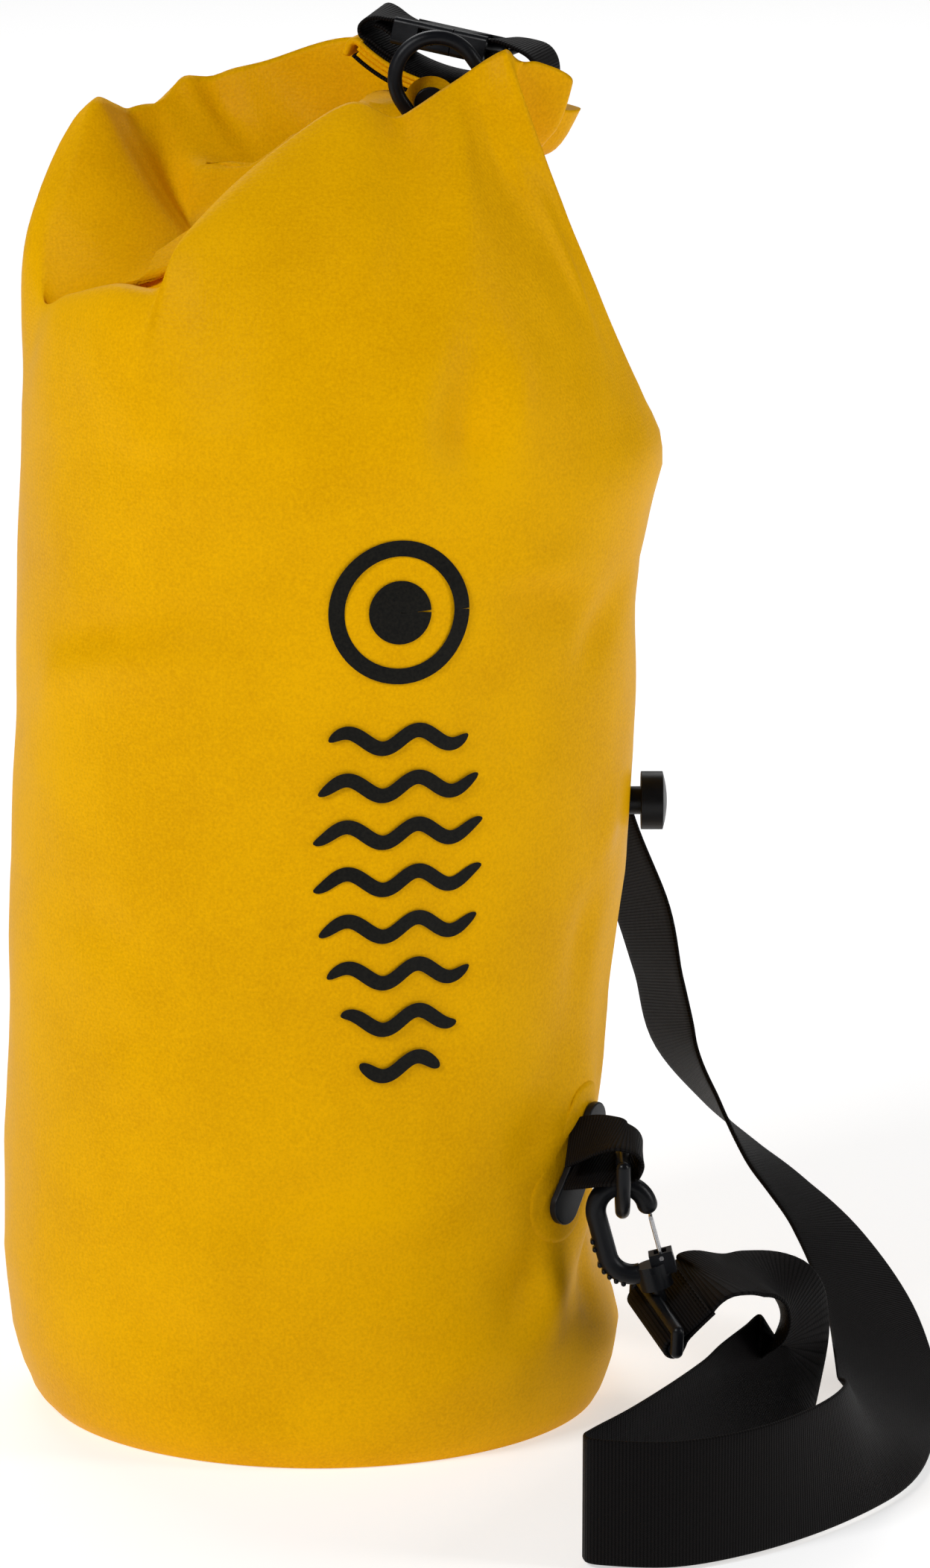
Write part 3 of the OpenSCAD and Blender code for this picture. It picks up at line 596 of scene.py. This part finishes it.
# The printed motif, a plain sun over waves: the sun's height and its ring's inner and outer
# radius, then each wave's height and half width
PRINT_AZIMUTH = -74
SUN = (334, 21, 27)
WAVES = [(286, 27), (268, 31), (250, 33), (232, 33), (214, 31), (196, 28), (178, 23), (160, 16)]


def print_band(name, line, width, material):
    """A printed stroke along (distance round, height) points, just proud of the coat."""
    run = np.array(line, float)
    fwd = np.gradient(run, axis=0)
    fwd /= np.linalg.norm(fwd, axis=1)[:, None]
    side = np.stack([-fwd[:, 1], fwd[:, 0]], 1)
    rows = []
    for k in np.linspace(-0.5, 0.5, 4):
        edge = run + side * (k * np.broadcast_to(width, len(run)))[:, None]
        rows.append(wall_point(PRINT_AZIMUTH + np.degrees(edge[:, 0] / BAG_R), edge[:, 1], 0.75))
    grid_object(name, rows, material)


def circle_line(radius, z, steps):
    """A closed line of (distance round, height) points."""
    return [(radius * math.cos(t), z + radius * math.sin(t))
            for t in np.linspace(0, 2 * math.pi, steps + 1)]


def build_print(material):
    z, inner, outer = SUN
    ring = circle_line((inner + outer) / 2, z, 72)
    print_band("print_sun_ring", ring, outer - inner, material)
    print_band("print_sun_core", circle_line(6, z, 48), 11.9, material)
    for i, (z, half) in enumerate(WAVES):
        s = np.linspace(-half, half, 90)
        line = [(a, z + 3.2 * math.sin(a / 4.3)) for a in s]
        taper = 5.6 * np.sqrt(np.clip(1 - (s / half) ** 6, 0.02, 1))
        print_band("print_wave_%d" % i, line, taper, material)


def build_side_tape(material):
    """The tape along the back, from edge to edge: distance round, height over the wall."""
    section = ((-12, 0.5), (-11.6, 1.1), (-6, 1.15), (0, 1.15), (6, 1.15), (11.6, 1.1), (12, 0.5))
    heights = np.arange(66, 387, 5)
    rows = [wall_point(100 + math.degrees(s / BAG_R), heights, out) for s, out in section]
    seam = grid_object("side_seam", rows, material)
    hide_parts("side_seam_tape")


# ---- ring handle, buckle and anchors -------------------------------------------------

def turned(axis, degrees):
    """The matrix of a turn about one axis."""
    a = math.radians(degrees)
    c, k = math.cos(a), math.sin(a)
    rows = {
        "x": [[1, 0, 0], [0, c, -k], [0, k, c]],
        "y": [[c, 0, k], [0, 1, 0], [-k, 0, c]],
        "z": [[c, -k, 0], [k, c, 0], [0, 0, 1]],
    }
    return np.array(rows[axis])


# The ring handle's frame: X along its chord, Y across it and Z up
RING_AT = (52, 16, 529)
RING = turned("z", -20) @ turned("x", 4) @ turned("y", 10)
ROLL_CENTRE_Z = 51.4  # the centre of the roll's curve, above the chord


def ring_stations(line):
    """Stations of a ribbon across the ring, from (along the chord, up, lean in degrees) points."""
    stations = []
    for x, z, *lean in line:
        a = math.radians(lean[0] if lean else 0)
        across = RING @ np.array([0, math.cos(a), math.sin(a)])
        stations.append(tuple(np.array(RING_AT) + RING @ np.array([x, 0, z])) + tuple(across))
    return stations


def roll_arc(radius, first, last, count):
    """Points on a circle about the roll's centre, in the plane of the ring."""
    return [(radius * math.cos(a), ROLL_CENTRE_Z + radius * math.sin(a))
            for a in np.radians(np.linspace(first, last, count))]


def sew(name, stations, width, thick, material, node, **shape):
    """A ribbon that stands for one CAD node."""
    piece, _ = ribbon(name, stations, width, thick, material, **shape)
    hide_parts(node)
    return piece


def build_ring_handle(cloth, coat):
    """The webbing round the buckle's bars, the strips along the mouth and the rolled mouth."""
    left = roll_arc(59.1, 252, 240, 4) + [
        (-33.2, 2.0, 6), (-34.4, 5.6, 8), (-32.5, 8.8, 6), (-28.5, 9.4, 0), (-23, 8.4, -7),
        (-18.5, 7.9, -11), (-15, 7.4, -11), (-13.3, 5.7, -11), (-13.1, 3.8, -11), (-13.9, 1.8, -11),
        (-16.5, 0.7, -11), (-20, 2.1, -9), (-25, 5.2, -4), (-29, 6.6, 0)]
    sew("buckle_webbing_left", ring_stations(left), 25, 1.7, cloth, "web_tab_left", steps=5)
    right = [(24, 5.4, -6), (20, 3.5, -9), (17, 1.1, -11), (14.5, 0.7, -11), (11.9, 1.8, -11),
             (11.2, 3.9, -11), (11.8, 6.1, -11), (14.2, 7.4, -11), (17.5, 7.9, -10), (21, 9, -7),
             (28, 8.8, -3), (34.5, 7.4), (38.6, 3.2), (40.2, -4), (39.6, -9.6), (37.2, -12),
             (34.6, -10.6)] + roll_arc(70, 299, 288, 4)
    sew("buckle_webbing_right", ring_stations(right), 25, 1.7, cloth, "web_tab_right", steps=5)
    for name, radius, node in (("closure_webbing_inner", 60.8, "closure_strip_inner"),
                               ("closure_webbing_outer", 68.2, "closure_strip_outer")):
        sew(name, ring_stations(roll_arc(radius, 238.6, 301.4, 16)), 26, 1.5, cloth, node, steps=3)
    # Three turns of the mouth, whose edges show as layers, and the end that flops out at the left
    for k, lift in enumerate((-1.9, 0, 1.9)):
        layer = ring_stations(roll_arc(64.5 + lift, 237.5 + k, 301, 18))
        piece, _ = ribbon("rolled_mouth_%d" % k, layer, 26.6 - 0.5 * k, 2.0, coat,
                          "coated_fabric", steps=3, across=6)
        if k == 1:
            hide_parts("rolled_fabric", "stiffener_strip")
    ear = [(-22, -8.6), (-27, -6.6), (-31.5, -3.6), (-35, -1.4), (-37.6, -2.8), (-38.8, -7.5)]
    ribbon("rolled_mouth_end", ring_stations(ear), 25, 3.2, coat, "coated_fabric", steps=5)


REAR = turned("z", 47)  # the rear anchor's frame
LOWER_SNAP_AT, LOWER_SNAP = (131, -80, 63.6), turned("y", -15)
REAR_SNAP_AT = tuple(REAR @ np.array([146.5, 0, 312.2]))


def build_anchor_loops(cloth):
    """The webbing that holds each D-ring to its plate."""
    lower = [(97, -72, 118.6, 0.1, 0.82, 0.55), (104, -75, 121.4, 0.08, 0.87, 0.45),
             (111, -78, 123.2, 0.05, 0.93, 0.3), (117, -80, 123.4, 0, 0.97, 0.2),
             (122.3, -80, 121, 0, 0.98, 0.17), (124.5, -80, 116.5, 0, 0.98, 0.17),
             (122.5, -80, 112, 0, 0.98, 0.17), (117.4, -80, 110.2, 0, 0.97, 0.2),
             (110, -77, 109.8, 0.05, 0.93, 0.3), (99, -72, 109, 0.1, 0.85, 0.45)]
    sew("anchor_webbing_lower", lower, 25, 1.6, cloth, "lower_loop")
    rear = []
    for x, z in ((121, 371), (127, 373), (135, 374), (142, 373.6), (147, 370.8), (148.2, 366),
                 (146.6, 361.8), (141, 360.3), (131, 360.2), (122, 361)):
        rear.append(tuple(REAR @ np.array([x, 0, z])) + tuple(REAR @ np.array([0, 1.0, 0])))
    sew("anchor_webbing_rear", rear, 25, 1.6, cloth, "rear_loop")
    bar, up = turned("y", -35) @ np.array([1.0, 0, 0]), turned("y", -35) @ np.array([0, 0, 1.0])
    top = []
    for back, high in ((9, 4.6), (4, 5.2), (0, 5.2), (-4, 4.2), (-6.3, 0), (-4, -4.4), (0, -5.2),
                       (4, -5), (9, -4.2)):
        top.append(tuple(np.array([53, -16 + back, 512]) + up * high) + tuple(bar))
    sew("anchor_webbing_top", top, 25, 1.6, cloth, "top_loop")


def patch_skin(name, azimuth, height, tilt, length, width, material, node):
    """A welded patch: an oblong skin on the wall whose edge sinks into it."""
    c, k = math.cos(math.radians(tilt)), math.sin(math.radians(tilt))
    turn = np.radians(np.linspace(0, 360, 72, endpoint=False))
    u = np.cos(turn) * width / 2
    v = np.sin(turn) * width / 2
    v = v + np.copysign((length - width) / 2, v)
    rows = []
    for shrink, out in ((0.01, 0.65), (0.35, 0.65), (0.7, 0.65), (0.93, 0.62), (1.0, 0.35),
                        (1.01, -0.3)):
        around, rise = (u * c + v * k) * shrink, (v * c - u * k) * shrink
        rows.append(wall_point(azimuth + np.degrees(around / BAG_R), height + rise, out))
    skin = grid_object(name, rows, material, closed=True)
    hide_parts(node)


def grip_ribs(name, at, turn, body, material):
    """Seven moulded ribs down the outer side of a snap hook, two straight and five round its bend."""
    bend_x, bend_z, bend_r = -5.4, 17, 13.9
    rod = ((-2.6, 0.55), (-2.0, 1.0), (2.0, 1.0), (2.6, 0.55))
    points, faces = [], []
    for i in range(7):
        a = math.radians(166 + 12.5 * i)
        out = np.array([math.cos(a), 0, math.sin(a)])
        centre = np.array([bend_x, 0, bend_z]) + out * bend_r
        if i < 2:
            centre = np.array([bend_x - bend_r, 0, 24 - 3.2 * i])
        add_rod(points, faces, at, turn, centre, out, rod, 10)
    mesh_object(name, np.array(points), faces, material, None, body)


def sewn_end(name, at, turn, reach, cloth, node):
    """The strap's end: round its bar and back on itself, in the bar's own frame."""
    round_bar = [(3, -2.6), (0, -3.6), (-2.6, -2.6), (-3.6, 0), (-2.6, 2.6), (0, 3.6), (3, 2.6)]
    if reach > 10:
        fold = [(reach + 0.6, -0.92), (reach * 0.6, -0.95), (6, -1.3), *round_bar,
                (6, 1.3), (reach * 0.6, 0.95), (reach + 0.3, 0.92)]
    else:
        fold = [(reach + 0.6, -0.95), (5.4, -1.4), *round_bar, (5.4, 1.4), (reach + 0.3, 0.95)]
    across = turn @ np.array([0, -1.0, 0])
    stations = [tuple(np.array(at) + turn @ np.array([x, 0, z])) + tuple(across) for x, z in fold]
    return sew(name, stations, 47.6, 1.7, cloth, node, steps=4)


def stitch_rows(name, ends, material):
    """Short stitches across each sewn end, a little proud of the top layer."""
    rod = ((-1.15, 0.08), (-0.8, 0.24), (0.8, 0.24), (1.15, 0.08))
    points, faces = [], []
    for at, turn, reach in ends:
        for x in (reach - 2.1, reach - 0.6):
            for y in np.arange(-20.5, 20.6, 3.15):
                add_rod(points, faces, at, turn, np.array([x, y, 1.86]), np.array([1.0, 0, 0]), rod, 6)
    piece = mesh_object(name, np.array(points), faces, material)
    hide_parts("strap_stitching")
    return piece


# The hard pieces that are shown as softened copies
MOULDED = ["buckle_socket", "buckle_plug", "latch_arm_front", "latch_arm_rear", "lower_plate",
           "rear_plate", "top_plate", "lower_hook", "rear_hook", "lower_swivel", "rear_swivel",
           "valve_knob", "valve_bush", "valve_nut"]


def soften(node, material, width=0.0006):
    """A copy of a hard CAD piece with small moulded radii on its edges, in the same place."""
    source = frame["nodes"][node]
    mesh = source.data.copy()
    shape = bmesh.new()
    shape.from_mesh(mesh)
    bmesh.ops.remove_doubles(shape, verts=shape.verts, dist=2e-6)
    bmesh.ops.dissolve_limit(shape, angle_limit=math.radians(1.5), verts=shape.verts,
                             edges=shape.edges)
    shape.to_mesh(mesh)
    shape.free()
    mesh.polygons.foreach_set("use_smooth", [True] * len(mesh.polygons))
    mesh.materials.clear()
    mesh.materials.append(material)
    piece = bpy.data.objects.new(node + "_moulded", mesh)
    bpy.context.scene.collection.objects.link(piece)
    bevel = piece.modifiers.new("edge_radius", "BEVEL")
    bevel.width = width
    bevel.segments = 3
    bevel.limit_method = "ANGLE"
    bevel.angle_limit = math.radians(40)
    bevel.harden_normals = True
    piece.modifiers.new("shading", "WEIGHTED_NORMAL").keep_sharp = True
    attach(piece, source["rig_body"])
    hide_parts(node)


# ---- run -----------------------------------------------------------------------------

set_up_studio()
yellow = coated_fabric("tarpaulin")
tape = coated_fabric("tape", 0.94)
strap_cloth = webbing("shoulder_webbing")
narrow_cloth = webbing("narrow_webbing", 0.0011)
nylon = moulded("nylon")
seal = rubber("seal")
wire = steel("wire")
print_ink = ink("print")
thread = webbing("thread", 0.0006, (0.006, 0.0055, 0.0055), 0.5)

build_bag(yellow)
build_print(print_ink)
build_side_tape(tape)

# Route of the shoulder strap from its lower bar to its rear bar: a point, then the way across
ROUTE = [
    (144.9, -80.1, 63.5, 0.27, -0.95, -0.16), (151, -78.5, 67.3, 0.17, -0.97, -0.1),
    (160, -72, 66.5, 0.05, -1, 0), (172, -65, 61.5, -0.15, -0.97, 0.15),
    (181.5, -58, 51, -0.42, -0.88, 0.2), (185, -52, 37, -0.56, -0.78, 0.26),
    (183.5, -54, 27.5, -0.6, -0.73, 0.33), (177, -68, 23.5, -0.57, -0.6, 0.5),
    (165, -94, 23, -0.5, -0.5, 0.65), (153, -122, 23.6, -0.35, -0.35, 0.85),
    (138, -154, 24.8, -0.2, -0.2, 0.95), (120, -188, 25.2, -0.08, -0.08, 1),
    (104, -214, 25.2, 0, 0, 1), (101, -222, 25.2, 0, 0, 1), (107, -228, 25.2, 0, 0, 1),
    (134, -230, 25.2, 0, 0, 1), (163, -214, 25.2, 0, 0, 1), (188, -188, 25.2, -0.1, 0, 1),
    (206, -156, 24.4, -0.3, 0, 0.9), (216, -110, 19.4, -0.7, 0, 0.7),
    (221, -50, 15.4, -0.75, -0.2, 0.5), (223, 0, 17, -0.8, -0.45, 0.35),
    (218, 32, 28, -0.8, -0.5, 0.3), (205, 56, 46, -0.6, -0.8, 0.2),
    (189, 68, 62, -0.3, -0.95, 0.1), (174, 76, 76, 0, -1, 0), (158, 83, 95, 0.25, -0.95, 0),
    (143, 90, 118, 0.4, -0.9, 0), (136, 94, 145, 0.4, -0.9, 0), (128, 98, 175, 0.5, -0.85, 0),
    (112, 102, 210, 0.6, -0.8, 0), (98, 104, 250, 0.68, -0.73, 0), (99, 106, 278, 0.71, -0.69, 0),
    (99.9, 107.1, 289.9, 0.73, -0.68, 0),
]
# Each sewn end: its bar, the bar's frame, and how far the fold reaches from it
LOWER_END = ((130.5, -82, 49.8), turned("z", 16) @ turned("x", 9) @ turned("y", -44), 20)
REAR_END = (tuple(REAR @ np.array([146.5, 0, 297])), REAR @ turned("y", 90), 7)

strap, strap_line = ribbon("shoulder_webbing", ROUTE, 48, 1.8, strap_cloth, steps=8, across=10)
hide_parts("shoulder_strap")
lower_end = sewn_end("strap_end_lower", *LOWER_END, strap_cloth, "lower_strap_end")
rear_end = sewn_end("strap_end_rear", *REAR_END, strap_cloth, "rear_strap_end")
stitches = stitch_rows("strap_stitches", (LOWER_END, REAR_END), thread)

patch_skin("patch_lower", -33, 109, 37, 66, 32, tape, "lower_patch")
patch_skin("patch_rear", 47, 366, 90, 50, 32, tape, "rear_patch")
grip_ribs("grip_lower", LOWER_SNAP_AT, LOWER_SNAP, "lower_snap", nylon)
grip_ribs("grip_rear", REAR_SNAP_AT, REAR, "rear_snap", nylon)

build_ring_handle(narrow_cloth, yellow)
build_anchor_loops(narrow_cloth)

# Every CAD node gets its slot's material, shown or not
MATERIALS = {
    "coated_fabric": yellow, "seam_tape": tape, "webbing": narrow_cloth, "thread": thread,
    "moulded_plastic": nylon, "seal_rubber": seal, "wire": wire,
}
for part in frame["record"]["subparts"]:
    node = frame["nodes"][part["node"]]
    node.data.materials.clear()
    node.data.materials.append(MATERIALS[part["material_slot"]])
for name in MOULDED:
    soften(name, MATERIALS["moulded_plastic"])
